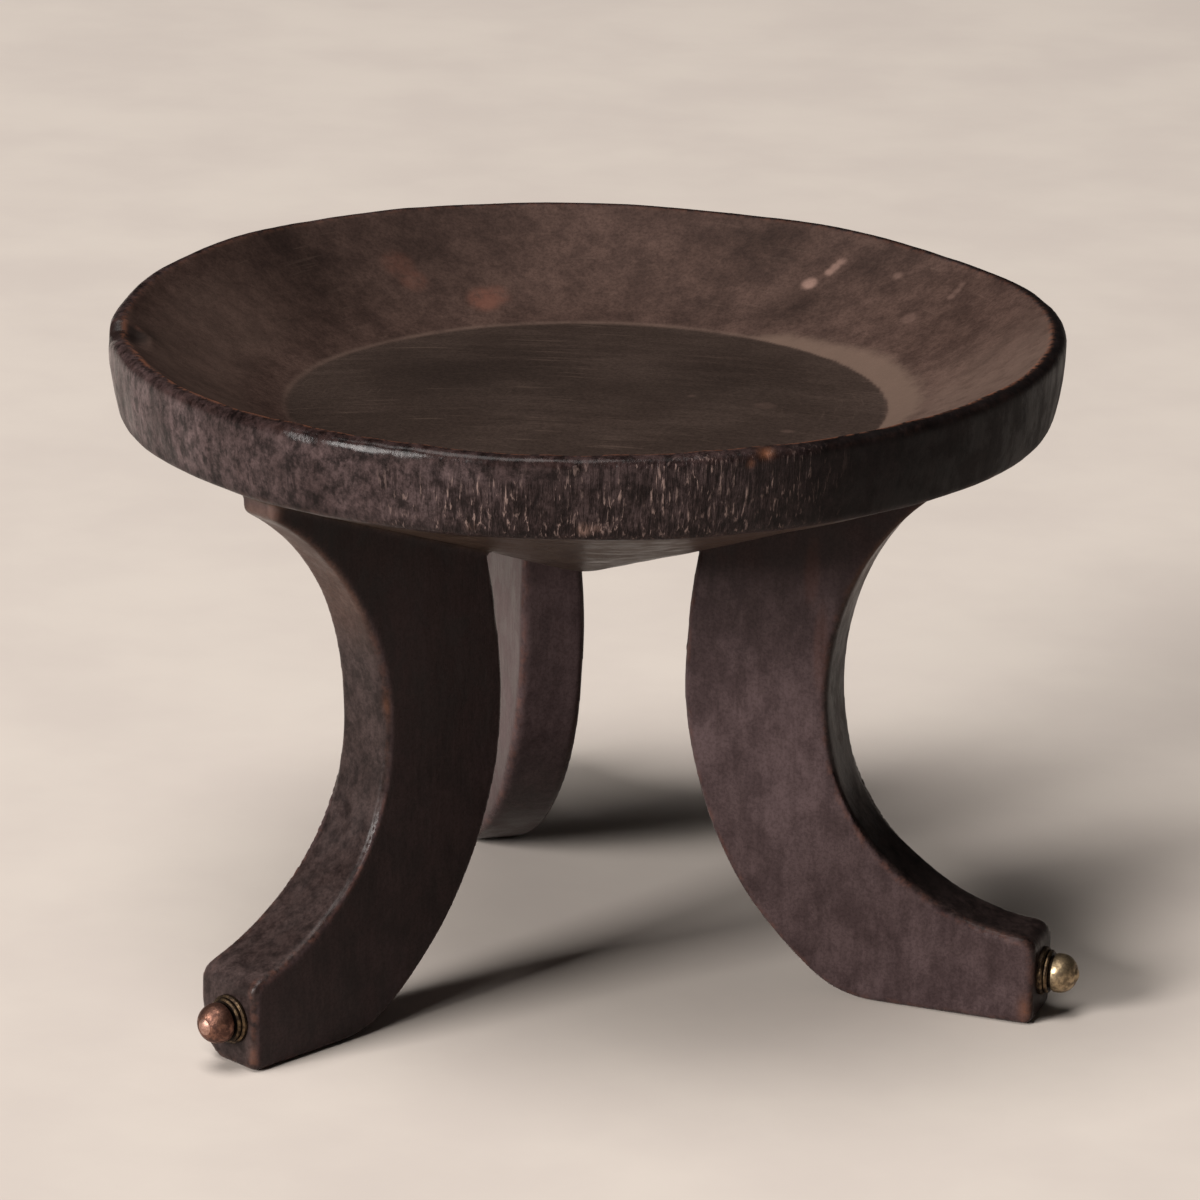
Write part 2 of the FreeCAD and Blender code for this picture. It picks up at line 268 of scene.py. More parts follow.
# How far the hand-carved shape departs from the plain solids, and the heights and radii over which it does
SEAT_OVAL, SEAT_WIDENING, SEAT_SHIFT = 0.008, 0.006, 0.001
OVAL_HEIGHTS = (0.150, 0.200)
FLARE_NARROWING = 0.33
FLARE_SIDES, FLARE_START = (0.026, LEG_HALF_WIDTH + 0.001), (0.020, 0.035)
FLARE_HEIGHTS, FLARE_TOP = (0.110, 0.190), (0.2005, 0.1985)
SEAT_LEAN, LEAN_PIVOT_X = 0.013, -0.115
LEAN_HEIGHTS = (0.020, 0.190)
LEFT_FOOT_WIDENING = 0.004
FOOT_START, FOOT_HEIGHTS, FOOT_SOLE = (0.060, 0.080), (0.110, 0.030), (0.002, 0.022)
RIM_BACK_RISE, RIM_BACK_DIP, RIM_WAVE = 0.0028, 0.0026, 0.0005
RIM_RADII, RIM_HEIGHTS, DIP_DEPTHS = (0.110, 0.160), (0.190, 0.215), (0, 0.7)
SHORT_WAVE, SHORT_WAVE_SEED = 0.35, 3.1
LONG_WAVE, LONG_WAVE_SEED = 0.8, 8.4


def make_oval(surface, at):
    """The seat is a little oval."""
    high_up = ramp(at.height, *OVAL_HEIGHTS)
    twice_round = 2 * np.radians(at.turn)
    stretch = 1 + high_up * (SEAT_OVAL * np.sin(twice_round) + SEAT_WIDENING * np.cos(twice_round))
    surface.points[:, 0] = surface.points[:, 0] * stretch + SEAT_SHIFT * high_up
    surface.points[:, 1] *= stretch


def narrow_flares(surface, at):
    """The legs narrow where they flare out under the seat."""
    for side in LEG_ANGLE:
        along, across = leg_coordinates(at.points, side)
        close = ramp(np.abs(across), *FLARE_SIDES) * ramp(along, *FLARE_START)
        narrowing = FLARE_NARROWING * close * ramp(at.height, *FLARE_HEIGHTS) * ramp(at.height, *FLARE_TOP)
        slide_across(surface.points, side, across * narrowing)


def lean_seat(surface, at):
    """The seat leans a little on its uneven legs."""
    lean = SEAT_LEAN * ramp(at.height, *LEAN_HEIGHTS)
    sideways = surface.points[:, 0] - LEAN_PIVOT_X
    surface.points[:, 0] -= lean * at.height
    surface.points[:, 2] += lean * sideways


def widen_left_foot(surface, at):
    """The left foot is wider on its far side."""
    along, across = leg_coordinates(at.points, "left")
    far_side = ramp(across, 0, -LEG_HALF_WIDTH) * ramp(along, *FOOT_START)
    far_side *= ramp(at.height, *FOOT_HEIGHTS) * ramp(at.height, *FOOT_SOLE)
    slide_across(surface.points, "left", LEFT_FOOT_WIDENING * far_side)


def bend_rim(surface, at):
    """The rim rises to the back, dips there to the right, and waves a little round its circle."""
    rim = ramp(at.radius, *RIM_RADII) * ramp(at.height, *RIM_HEIGHTS)
    to_right, to_back = at.circle[:, 0], at.circle[:, 1]
    surface.points[:, 2] += RIM_BACK_RISE * rim * (1 + to_back) / 2
    surface.points[:, 2] -= RIM_BACK_DIP * rim * ramp(to_back, *DIP_DEPTHS) * to_right
    wave = noise_field(at.circle, SHORT_WAVE, SHORT_WAVE_SEED)
    wave += noise_field(at.circle, LONG_WAVE, LONG_WAVE_SEED)
    surface.points[:, 2] += RIM_WAVE * rim * wave


# Marks of the tools: size across, depth and noise seed, and how much of them each part shows
SWELL_SIZE, SWELL_DEPTH, SWELL_SEED = 0.045, 0.0005, 1.7
CUT_SIZE, CUT_DEPTH, CUT_SEED = 0.016, 0.0004, 5.2
CUT_STRETCH = np.array([1, 1, 0.55])
CUTS_ON_LEG, CUTS_ON_UNDERSIDE, CUTS_IN_DISH, CUTS_ON_BAND = 0.9, 0.8, 0.12, 0.5
DENT_SIZE, DENT_DEPTH, DENT_SEED = 0.013, 0.0005, 7.9
DENTS_ON_BAND, DENTS_AT_BACK = 0.4, 0.35
KNEE_HEIGHT, KNEE_REACH, KNEE_DEPTH = 0.070, 0.018, 0.0018
SOLE_HEIGHTS = (0.001, 0.006)


def carve(surface, at, normals):
    """Broad swells, tool cuts and dents along the crest, fading out at soles and toes, and hollow knees."""
    relief = SWELL_DEPTH * noise_field(at.points, SWELL_SIZE, SWELL_SEED)
    cuts = cut_field(at.points * CUT_STRETCH, CUT_SIZE, CUT_SEED) - 0.5
    shown = CUTS_ON_LEG * at.leg + CUTS_ON_UNDERSIDE * at.underside + CUTS_IN_DISH * at.dish
    shown += CUTS_ON_BAND * at.band
    relief += CUT_DEPTH * cuts * shown
    dents = noise_field(at.points, DENT_SIZE, DENT_SEED) * np.maximum(at.crest, DENTS_ON_BAND * at.band)
    relief += DENT_DEPTH * dents * (DENTS_AT_BACK + (1 - DENTS_AT_BACK) * at.front)
    free = (1 - at.toe) * ramp(at.height, *SOLE_HEIGHTS)
    surface.points += normals * (relief * free)[:, None]
    knee = at.outer_face * bell(at.height, KNEE_HEIGHT, KNEE_REACH)
    surface.points -= normals * (KNEE_DEPTH * knee)[:, None]


# Facets rubbed by use: place, reach, depth, and the azimuth and elevation that each one faces
FACETS = [
    ((-0.0960, -0.1345, 0.2265), 0.012, 0.0005, -120, 23),
    ((-0.0840, -0.1420, 0.2265), 0.010, 0.0003, -117, 21),
    ((-0.0710, -0.1490, 0.2265), 0.011, 0.0005, -115, 23),
    ((-0.0570, -0.1555, 0.2265), 0.010, 0.0004, -112, 22),
    ((-0.0751, -0.0951, 0.0715), 0.028, 0.0018, -117, 20),
    ((-0.1257, -0.1129, 0.0000), 0.018, 0.0026, 165, -45),
]
FACET_CORE = 0.6
FACET_PASSES = 3


def rub_facets(surface, at):
    """Rub the facets flat, fading out at their reach, and soften those on the handled shoulder."""
    points = surface.points
    for centre, reach, depth, azimuth, elevation in FACETS:
        facing = direction(azimuth, elevation)
        away = np.linalg.norm(points - np.array(centre), axis=1)
        near = away < reach
        heights = points[near] @ facing
        over = np.maximum(heights - (heights.max() - depth), 0)
        over *= ramp(away[near], reach, FACET_CORE * reach)
        points[near] -= over[:, None] * facing
    surface.smooth(FACET_PASSES, SMOOTHING_SHARE * (at.shoulder * at.handled)[:, None])


def blob(points, centre, size):
    """1 at the centre, fading out at about size from it."""
    away = (points - np.array(centre)) / size
    return np.exp(-(away ** 2).sum(axis=1))


# Chips and gouges: place, size along the three axes, depth, and how much bare wood shows
CHIPS = [
    ((0.0595, -0.1539, 0.2290), (0.0022, 0.0030, 0.0018), 0.0008, 1.0),
    ((0.0544, -0.1558, 0.2258), (0.0011, 0.0020, 0.0011), 0.0004, 0.8),
    ((-0.0664, -0.0860, 0.1176), (0.0020, 0.0020, 0.0035), 0.0006, 1.0),
    ((-0.0709, -0.0907, 0.0979), (0.0018, 0.0018, 0.0028), 0.0003, 0.5),
    ((-0.0854, -0.1014, 0.1812), (0.0018, 0.0018, 0.0024), 0.0006, 0.7),
    ((-0.1096, -0.1308, 0.0051), (0.0025, 0.0025, 0.0050), 0.0003, 0.6),
    ((0.1565, -0.0666, 0.0060), (0.0022, 0.0022, 0.0045), 0.0003, 0.6),
]
NOTCH_DEPTH = 0.0038
NOTCH_RADII, NOTCH_HEIGHTS = (0.150, 0.157), (0.214, 0.224)


def chip(surface, at, normals):
    """Knock the chips out and return the share of bare wood."""
    bare = np.zeros(surface.count)
    for centre, size, depth, bareness in CHIPS:
        mark = blob(at.points, centre, size)
        surface.points -= normals * (mark * depth)[:, None]
        bare = np.maximum(bare, mark * bareness)
    return bare


def cut_notch(surface, at):
    """Break the notch out of the left of the rim and return its share."""
    notch = plateau(at.turn, *NOTCH_SECTOR)
    notch *= ramp(at.radius, *NOTCH_RADII) * ramp(at.height, *NOTCH_HEIGHTS)
    surface.points[:, 2] -= NOTCH_DEPTH * notch
    return notch


# Wear shows where the surface bulges by so much, and the colour is darker where it is hollow by so much
BULGE_PASSES, BULGE_SPREAD = 3, 2
WORN_BULGES, DARK_HOLLOWS = (0.00010, 0.00020), (0.00010, 0.00045)
WEAR_LOST_ON_CREST = 0.85


def edge_shares(surface, at):
    """Share of worn edges, such as those of the legs and of the foot of the band, and share of hollows."""
    normals = surface.normals()
    means = np.column_stack([surface.spread(axis, BULGE_PASSES) for axis in surface.points.T])
    bulge = ((surface.points - means) * normals).sum(axis=1)
    worn = ramp(surface.spread(bulge, BULGE_SPREAD), *WORN_BULGES) * (1 - WEAR_LOST_ON_CREST * at.crest)
    hollow = ramp(surface.spread(-bulge, BULGE_SPREAD), *DARK_HOLLOWS)
    return worn, hollow


# Rubbed places, pale spots with painted light on the tip of the left leg's flare, and dark stains: place,
# size and strength
RUBBED = [
    ((-0.0392, 0.1133, 0.2073), 0.0062, 0.8),
    ((-0.0345, 0.1165, 0.2086), 0.0050, 0.6),
    ((-0.0715, 0.1190, 0.2165), 0.0065, 0.35),
    ((-0.0655, 0.1140, 0.2135), 0.0055, 0.40),
    ((0.0790, -0.0392, 0.1530), (0.0030, 0.0030, 0.0130), 0.35),
    ((0.0828, -0.0408, 0.1270), (0.0028, 0.0030, 0.0160), 0.30),
]
PALE_SPOTS_AND_PAINTED_LIGHT = [
    ((0.0799, 0.1105, 0.2155), 0.0030, 0.8),
    ((0.0872, 0.1131, 0.2190), 0.0019, 0.6),
    ((0.0894, 0.1146, 0.2204), 0.0020, 0.6),
    ((0.0916, 0.1160, 0.2219), 0.0019, 0.5),
    ((0.1110, 0.0986, 0.2225), 0.0020, 0.25),
    ((0.1143, 0.0704, 0.2144), 0.0034, 0.20),
    ((0.1290, 0.0720, 0.2222), 0.0017, 0.25),
    ((0.1312, 0.0740, 0.2238), 0.0017, 0.25),
    ((0.1330, 0.0765, 0.2252), 0.0016, 0.20),
    ((0.0617, -0.0008, 0.2015), 0.0040, 0.10),
    ((0.0694, -0.0316, 0.2015), 0.0022, 0.14),
    ((0.0363, 0.0102, 0.2015), 0.0016, 0.14),
    ((0.0, -0.1640, 0.2049), 0.0026, 0.9),
    ((0.0040, -0.1640, 0.2052), 0.0020, 0.6),
    ((-0.0372, -0.1607, 0.2040), 0.0030, 0.3),
    # painted light: the lit end face of the left leg's flare tip, and a highlight on its near edge
    ((-0.1077, -0.1115, 0.1945), 0.0080, 0.22),
    ((-0.0997, -0.1192, 0.1955), 0.0045, 0.40),
]
DARK_STAINS = [
    ((-0.1053, 0.1065, 0.2233), 0.032, 1.0),
    ((-0.0700, 0.1320, 0.2233), 0.026, 1.0),
    ((-0.0400, 0.1450, 0.2250), 0.018, 0.8),
    ((0.0420, 0.1060, 0.2060), 0.014, 0.6),
    ((0.0650, 0.1350, 0.2260), 0.018, 0.7),
    ((0.0760, 0.0980, 0.2090), 0.016, 0.8),
    ((0.1090, 0.1090, 0.2270), 0.018, 0.8),
    ((-0.1439, -0.0808, 0.2200), 0.011, 0.8),
    ((-0.1570, -0.0500, 0.2180), 0.009, 0.7),
    ((-0.1003, -0.1310, 0.2145), 0.007, 0.6),
    ((-0.1510, -0.0070, 0.2240), 0.0055, 1.0),
    ((-0.0430, 0.0380, 0.2015), 0.040, 0.55),
    ((0.0410, 0.0300, 0.2015), 0.032, 0.40),
]
CRISP_EDGE = (0.14, 0.72)


def strongest_mark(at, marks, crisp=False):
    """The strongest of several round marks at each point."""
    strongest = np.zeros(len(at.points))
    for centre, size, strength in marks:
        mark = blob(at.points, centre, size)
        if crisp:
            mark = ramp(mark, *CRISP_EDGE)
        strongest = np.maximum(strongest, strength * mark)
    return strongest


# Dust in the dish: a drift beside the floor, a thin haze on the wall, and a line round the floor; and a
# painted sheen on the left wall
DRIFT_EDGE = (DISH_FLOOR_RADIUS - 0.0006, DISH_FLOOR_RADIUS + 0.0006)
DRIFT_LEAST_WIDTH, DRIFT_WIDENING = 0.001, 0.0078
DRIFT_FADE, DRIFT_ENDS = (0.008, -0.003), (0, 0.3)
HAZE_RADII, HAZE_STRENGTH = (0.108, 0.125), 0.60
PAINTED_SHEEN_RADII, PAINTED_SHEEN_TURNS, PAINTED_SHEEN_STRENGTH = (0.112, 0.128, 0.146, 0.158), (140, 165), 0.25
LINE_OFFSET, LINE_WIDTH, LINE_STRENGTH, LINE_AT_FRONT = 0.0008, 0.0010, 0.50, 0.35


def dust_and_sheen_shares(at):
    """Share of drifted dust, and share of haze with the painted sheen on the left wall."""
    lit_slope = plateau(at.turn, *DRIFT_SECTOR)
    width = DRIFT_LEAST_WIDTH + DRIFT_WIDENING * lit_slope
    drift = ramp(at.radius, *DRIFT_EDGE) * ramp(lit_slope, *DRIFT_ENDS) * at.dish
    drift *= ramp(at.radius - DISH_FLOOR_RADIUS - width, *DRIFT_FADE)
    haze = ramp(at.radius, *HAZE_RADII) * plateau(at.turn, *HAZE_SECTOR)
    # painted sheen on the left wall of the dish
    painted_sheen = plateau(at.radius, *PAINTED_SHEEN_RADII) * ramp(np.abs(at.turn), *PAINTED_SHEEN_TURNS)
    line = bell(at.radius, DISH_FLOOR_RADIUS + LINE_OFFSET, LINE_WIDTH) * at.dish
    line *= LINE_AT_FRONT + (1 - LINE_AT_FRONT) * plateau(at.turn, *BACK_SECTOR)
    haze = np.maximum(HAZE_STRENGTH * haze, PAINTED_SHEEN_STRENGTH * painted_sheen)
    return drift, at.dish * np.maximum(haze, LINE_STRENGTH * line)


# Checks on the rim band, with painted shade on its side turned from the key lamp and a darker foot, and the
# heights of the painted light on the upper outer faces of the legs and of the painted shade on the legs under
# the seat
CHECK_HEIGHTS, CHECKS_RUBBED_AWAY = (0.2310, 0.2250), 0.9
DARK_FOOT_HEIGHTS, DARK_FOOT_STRENGTH = (0.207, 0.203), 0.4
UPPER_FACE_LIGHT_HEIGHTS, UNDER_SEAT_SHADE_HEIGHTS = (0.130, 0.165), (0.145, 0.190)
# where the notch is painted dark: painted shade beside its step
NOTCH_SHADE_EDGE, NOTCH_SHADE_TURNS = (0.05, 0.35), (-171.5, -175)
SHOULDER_LEAST, CREST_LINE_LEAST = 0.3, 0.2


def band_shares(at):
    """Share of fine checks, and share of the band painted dark: painted shade on its side turned from the key
    lamp, and a darker foot.
    """
    cracked = at.band * plateau(at.turn, *CRACKED_SECTOR) * ramp(at.height, *CHECK_HEIGHTS)
    cracked *= 1 - CHECKS_RUBBED_AWAY * at.shoulder * at.handled
    foot = DARK_FOOT_STRENGTH * ramp(at.height, *DARK_FOOT_HEIGHTS)
    painted_shade_and_dark_foot = at.band * np.maximum(plateau(at.turn, *PAINTED_SHADE_SECTOR), foot)
    return cracked, painted_shade_and_dark_foot


def make_stool_wood():
    """The wooden body: an even copy of the solid, carved and worn, painted with what its material reads."""
    wood = even_copy(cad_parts["stool_body"], "stool_wood")
    surface = Surface(wood.data)
    surface.smooth(SMOOTHING_PASSES, SMOOTHING_SHARE)
    at = Places(surface)
    make_oval(surface, at)
    narrow_flares(surface, at)
    lean_seat(surface, at)
    widen_left_foot(surface, at)
    bend_rim(surface, at)
    normals = surface.normals()
    carve(surface, at, normals)
    rub_facets(surface, at)
    chipped = chip(surface, at, normals)
    notch = cut_notch(surface, at)
    surface.points[:, 2] = np.maximum(surface.points[:, 2], 0)
    worn, hollow = edge_shares(surface, at)
    drift, haze = dust_and_sheen_shares(at)
    cracked, painted_shade_and_dark_foot = band_shares(at)
    shares = {
        "wear": worn,
        "hollow": hollow,
        "chipped": chipped,
        # painted shade in the notch, darkest beside its step
        "notch": ramp(notch, *NOTCH_SHADE_EDGE) * ramp(at.turn, *NOTCH_SHADE_TURNS),
        "dish": at.dish,
        "dish_floor": at.dish_floor,
        "band": at.band,
        "shoulder": at.shoulder * (SHOULDER_LEAST + (1 - SHOULDER_LEAST) * at.handled),
        "crest": at.crest_line * (CREST_LINE_LEAST + (1 - CREST_LINE_LEAST) * at.front),
        # the crest top, which the material darkens as painted shade
        "crest_top": at.crest_top,
        "outer_face": at.outer_face,
        # painted light: the upper outer faces of the legs made lighter, as if lit
        "painted_light_upper_face": at.outer_face * ramp(at.height, *UPPER_FACE_LIGHT_HEIGHTS),
        # painted shade on the legs under the seat
        "painted_shade_under_seat": at.leg * (1 - at.outer_face) * ramp(at.height, *UNDER_SEAT_SHADE_HEIGHTS),
        "underside": at.underside,
        "drift": drift,
        # dust haze, and the painted sheen on the left wall of the dish
        "haze": haze,
        "cracked": cracked,
        # painted shade on the band's side turned from the key lamp, and a darker foot
        "painted_shade_and_dark_foot": painted_shade_and_dark_foot,
        "rubbed": strongest_mark(at, RUBBED, crisp=True),
        # pale spots, and painted light on the tip of the left leg's flare
        "pale_spots_and_painted_light": strongest_mark(at, PALE_SPOTS_AND_PAINTED_LIGHT, crisp=True),
        "stained": strongest_mark(at, DARK_STAINS),
    }
    surface.store()
    for name, values in shares.items():
        surface.paint(name, values)
    wood.data.shade_smooth()
    return wood


class Recipe:
    """A material's node tree, with short ways to add to it."""

    MIX_SHARE, MIX_FIRST, MIX_SECOND, MIX_RESULT = 0, 6, 7, 2

    def __init__(self, name):
        self.material = bpy.data.materials.new(name)
        self.material.use_nodes = True
        self.tree = self.material.node_tree
        self.shader = self.tree.nodes["Principled BSDF"]
        self.place = self.add("ShaderNodeTexCoord").outputs["Object"]

    def add(self, kind, **settings):
        node = self.tree.nodes.new(kind)
        for name, value in settings.items():
            setattr(node, name, value)
        return node

    def feed(self, socket, value):
        """Link a socket to another one, or set it to a constant."""
        if isinstance(value, bpy.types.NodeSocket):
            self.tree.links.new(value, socket)
        elif isinstance(value, tuple) and len(value) == 3 and socket.type == "RGBA":
            socket.default_value = (*value, 1)
        else:
            socket.default_value = value

    def painted(self, name):
        """A share that is painted on the mesh."""
        return self.add("ShaderNodeAttribute", attribute_name=name).outputs["Fac"]

    def mark(self, name, strength):
        """A painted share times a strength."""
        return self.times(self.painted(name), strength)

    def maths(self, operation, first, second=0.0):
        node = self.add("ShaderNodeMath", operation=operation)
        self.feed(node.inputs[0], first)
        self.feed(node.inputs[1], second)
        return node.outputs[0]

    def times(self, first, second):
        return self.maths("MULTIPLY", first, second)

    def plus(self, first, second):
        return self.maths("ADD", first, second)

    def step(self, value, low, high, to_low=0.0, to_high=1.0):
        """Smooth step of a value from low to high."""
        node = self.add("ShaderNodeMapRange", interpolation_type="SMOOTHSTEP")
        for socket, amount in zip(node.inputs, (value, low, high, to_low, to_high)):
            self.feed(socket, amount)
        return node.outputs[0]

    def mixed(self, share, first, second, way):
        node = self.add("ShaderNodeMix", data_type="RGBA", blend_type=way)
        self.feed(node.inputs[self.MIX_SHARE], share)
        self.feed(node.inputs[self.MIX_FIRST], first)
        self.feed(node.inputs[self.MIX_SECOND], second)
        return node.outputs[self.MIX_RESULT]

    def blend(self, share, first, second):
        """One colour turned into another, by share."""
        return self.mixed(share, first, second, "MIX")

    def shaded(self, share, first, second):
        """One colour multiplied by another, by share."""
        return self.mixed(share, first, second, "MULTIPLY")

    def stretched(self, scale):
        node = self.add("ShaderNodeMapping")
        self.feed(node.inputs["Vector"], self.place)
        self.feed(node.inputs["Scale"], scale)
        return node.outputs[0]

    def cloud(self, scale, stretch=(1, 1, 1), detail=4.0, rough=0.55, twist=0.0):
        """Noise; scale counts lumps per metre."""
        node = self.add("ShaderNodeTexNoise")
        self.feed(node.inputs["Vector"], self.stretched(stretch))
        self.feed(node.inputs["Scale"], scale)
        self.feed(node.inputs["Detail"], detail)
        self.feed(node.inputs["Roughness"], rough)
        self.feed(node.inputs["Distortion"], twist)
        return node.outputs[0]

    def ring_cloud(self, scale, turn_share, centre=(0.0, 0.0)):
        """Noise drawn out round an upright axis through the centre."""
        parts = self.add("ShaderNodeSeparateXYZ")
        self.feed(parts.inputs[0], self.place)
        across = self.plus(parts.outputs["X"], -centre[0])
        deep = self.plus(parts.outputs["Y"], -centre[1])
        distance = self.maths("SQRT", self.plus(self.times(across, across), self.times(deep, deep)))
        turned = self.maths("ARCTAN2", deep, across)
        joined = self.add("ShaderNodeCombineXYZ")
        self.feed(joined.inputs["X"], distance)
        self.feed(joined.inputs["Y"], self.times(turned, turn_share))
        node = self.add("ShaderNodeTexNoise")
        self.feed(node.inputs["Vector"], joined.outputs[0])
        self.feed(node.inputs["Scale"], scale)
        return node.outputs[0]

    def bump(self, heights, depth, under=None):
        node = self.add("ShaderNodeBump")
        self.feed(node.inputs["Height"], heights)
        self.feed(node.inputs["Distance"], depth)
        self.feed(node.inputs["Strength"], 1.0)
        if under is not None:
            self.feed(node.inputs["Normal"], under)
        return node.outputs[0]

    def finish(self, **inputs):
        for name, value in inputs.items():
            self.feed(self.shader.inputs[name.replace("_", " ")], value)
        return self.material


# Colours of the parts of the wood, dark and pale
LEG_COLOURS = (0.066, 0.043, 0.044), (0.106, 0.071, 0.072)
OUTER_FACE_COLOURS = (0.028, 0.019, 0.018), (0.074, 0.051, 0.048)
DISH_WALL_COLOURS = (0.052, 0.030, 0.024), (0.084, 0.050, 0.040)
DISH_FLOOR_COLOURS = (0.044, 0.0288, 0.0228), (0.058, 0.0386, 0.0310)
BAND_COLOURS = (0.022, 0.015, 0.015), (0.152, 0.105, 0.104)
UNDERSIDE_COLOURS = (0.070, 0.045, 0.034), (0.120, 0.080, 0.062)

# Colours of what lies on the wood or shows through its patina, and of painted light and shade: on the upper
# outer faces of the legs, on the band's side turned from the key lamp, in the notch, on the ridges of the
# checks, on the left flare's tip among the pale spots, and as sheen in the haze
UPPER_FACE_PAINTED_LIGHT_COLOUR = (0.200, 0.120, 0.096)
BAND_SHADE_AND_FOOT_COLOUR = (0.009, 0.006, 0.006)
CHECKED_COLOUR = (0.022, 0.013, 0.012)
NOTCH_PAINTED_SHADE_COLOUR = (0.010, 0.006, 0.005)
RUBBED_COLOUR = (0.160, 0.064, 0.044)
SPOT_AND_PAINTED_LIGHT_COLOUR = (0.26, 0.160, 0.130)
SCORE_COLOUR = (0.011, 0.007, 0.007)
SCRATCH_COLOUR = (0.17, 0.115, 0.090)
HAZE_AND_SHEEN_COLOUR = (0.130, 0.086, 0.068)
DUST_COLOUR = (0.122, 0.081, 0.062)
GAP_COLOUR = (0.008, 0.005, 0.005)
RIDGE_PAINTED_HIGHLIGHT_COLOUR = (0.34, 0.235, 0.205)
WORN_COLOUR = (0.150, 0.066, 0.047)
BARE_CREST_COLOUR = (0.190, 0.074, 0.042)
CHIP_COLOUR = (0.26, 0.105, 0.055)

# Shades that darken what is below them; those under the seat and on the crest top are painted shade
UNDER_SEAT_PAINTED_SHADE = (0.42, 0.38, 0.36)
BROAD_SHADE = (0.58, 0.54, 0.52)
PATCH_SHADE = (0.48, 0.44, 0.43)
CREST_TOP_PAINTED_SHADE = (0.38, 0.33, 0.32)
GRAIN_SHADE = (0.40, 0.37, 0.36)
HOLLOW_SHADE = (0.35, 0.32, 0.31)
STAIN_SHADE = (0.38, 0.36, 0.35)

# The tool that smoothed the dish floor swung about a point in front of the seat
STROKE_CENTRE = (-0.040, -0.280)

# Gloss: the wood's specular level, and what each painted share adds to the roughness
WOOD_SPECULAR = 0.12
ROUGHNESS_CHANGES = {"dish": 0.64, "drift": 0.30, "painted_shade_and_dark_foot": 0.22, "shoulder": -0.14, "wear": -0.10}

# Depths of the finest relief
GRAIN_DEPTH, MOTTLE_DEPTH, CHECK_DEPTH, SCRATCH_DEPTH = 0.00008, 0.00006, 0.0007, 0.00006


def wood_patterns(mix):
    """The noises that colour, gloss and relief share."""
    strokes = mix.step(mix.ring_cloud(150, 0.045, STROKE_CENTRE), 0.36, 0.64)
    stroked = mix.step(mix.cloud(24, detail=5, rough=0.6), 0.36, 0.62)
    return SimpleNamespace(
        broad=mix.step(mix.cloud(16, detail=5), 0.35, 0.65),
        patches=mix.step(mix.cloud(42, detail=5, rough=0.6), 0.42, 0.62),
        mottle=mix.step(mix.cloud(95, (1, 1, 0.7), detail=8, rough=0.66), 0.36, 0.64),
        ragged=mix.step(mix.cloud(160, detail=5, rough=0.7), 0.30, 0.62),
        scuffs=mix.step(mix.cloud(190, (1, 1, 0.8), detail=8, rough=0.75), 0.36, 0.64),
        rub=mix.step(mix.cloud(220, detail=5, rough=0.7), 0.42, 0.66),
        strokes=mix.times(strokes, stroked),
        grain=mix.cloud(420, (1, 1, 0.14), detail=4),
        speckle=mix.cloud(900, detail=4, rough=0.7),
        bark=mix.cloud(950, (1, 1, 0.12), detail=3, rough=0.6, twist=0.5),
    )


def part_colours(mix, patterns):
    """Each part of the body in its own colours, with painted shade on the legs under the seat and on the
    band's side turned from the key lamp, and painted light on the upper outer faces of the legs.
    """
    legs = mix.blend(patterns.mottle, *LEG_COLOURS)
    # painted shade: the legs darker under the seat
    legs = mix.shaded(mix.mark("painted_shade_under_seat", 0.8), legs, UNDER_SEAT_PAINTED_SHADE)
    colour = mix.blend(mix.painted("outer_face"), legs, mix.blend(patterns.scuffs, *OUTER_FACE_COLOURS))
    # painted light on the upper outer faces of the legs
    colour = mix.blend(mix.mark("painted_light_upper_face", 0.7), colour, UPPER_FACE_PAINTED_LIGHT_COLOUR)
    colour = mix.blend(mix.painted("underside"), colour, mix.blend(patterns.mottle, *UNDERSIDE_COLOURS))
    colour = mix.blend(mix.painted("band"), colour, mix.blend(patterns.scuffs, *BAND_COLOURS))
    colour = mix.blend(mix.painted("dish"), colour, mix.blend(patterns.mottle, *DISH_WALL_COLOURS))
    colour = mix.blend(mix.painted("dish_floor"), colour, mix.blend(patterns.strokes, *DISH_FLOOR_COLOURS))
    # painted shade on the band's side turned from the key lamp, and its darker foot
    colour = mix.blend(mix.mark("painted_shade_and_dark_foot", 0.92), colour, BAND_SHADE_AND_FOOT_COLOUR)
    return mix.blend(mix.mark("cracked", 0.45), colour, CHECKED_COLOUR)


def weather_and_paint_shade(mix, patterns, colour):
    """Broad shading, patches, grain, darker hollows, and painted shade on the crest top and in the notch."""
    colour = mix.shaded(mix.times(patterns.broad, 0.6), colour, BROAD_SHADE)
    patched = mix.plus(mix.mark("band", 0.6), mix.mark("outer_face", 0.5))
    colour = mix.shaded(mix.times(patterns.patches, patched), colour, PATCH_SHADE)
    # painted shade: the upward-facing crest top darkened against the light from above
    colour = mix.shaded(mix.mark("crest_top", 0.85), colour, CREST_TOP_PAINTED_SHADE)
    colour = mix.shaded(mix.step(patterns.grain, 0.58, 0.40, 0.0, 0.22), colour, GRAIN_SHADE)
    colour = mix.shaded(mix.step(patterns.speckle, 0.56, 0.40, 0.0, 0.40), colour, GRAIN_SHADE)
    colour = mix.shaded(mix.mark("hollow", 0.6), colour, HOLLOW_SHADE)
    # painted shade in the notch
    return mix.blend(mix.mark("notch", 0.85), colour, NOTCH_PAINTED_SHADE_COLOUR)


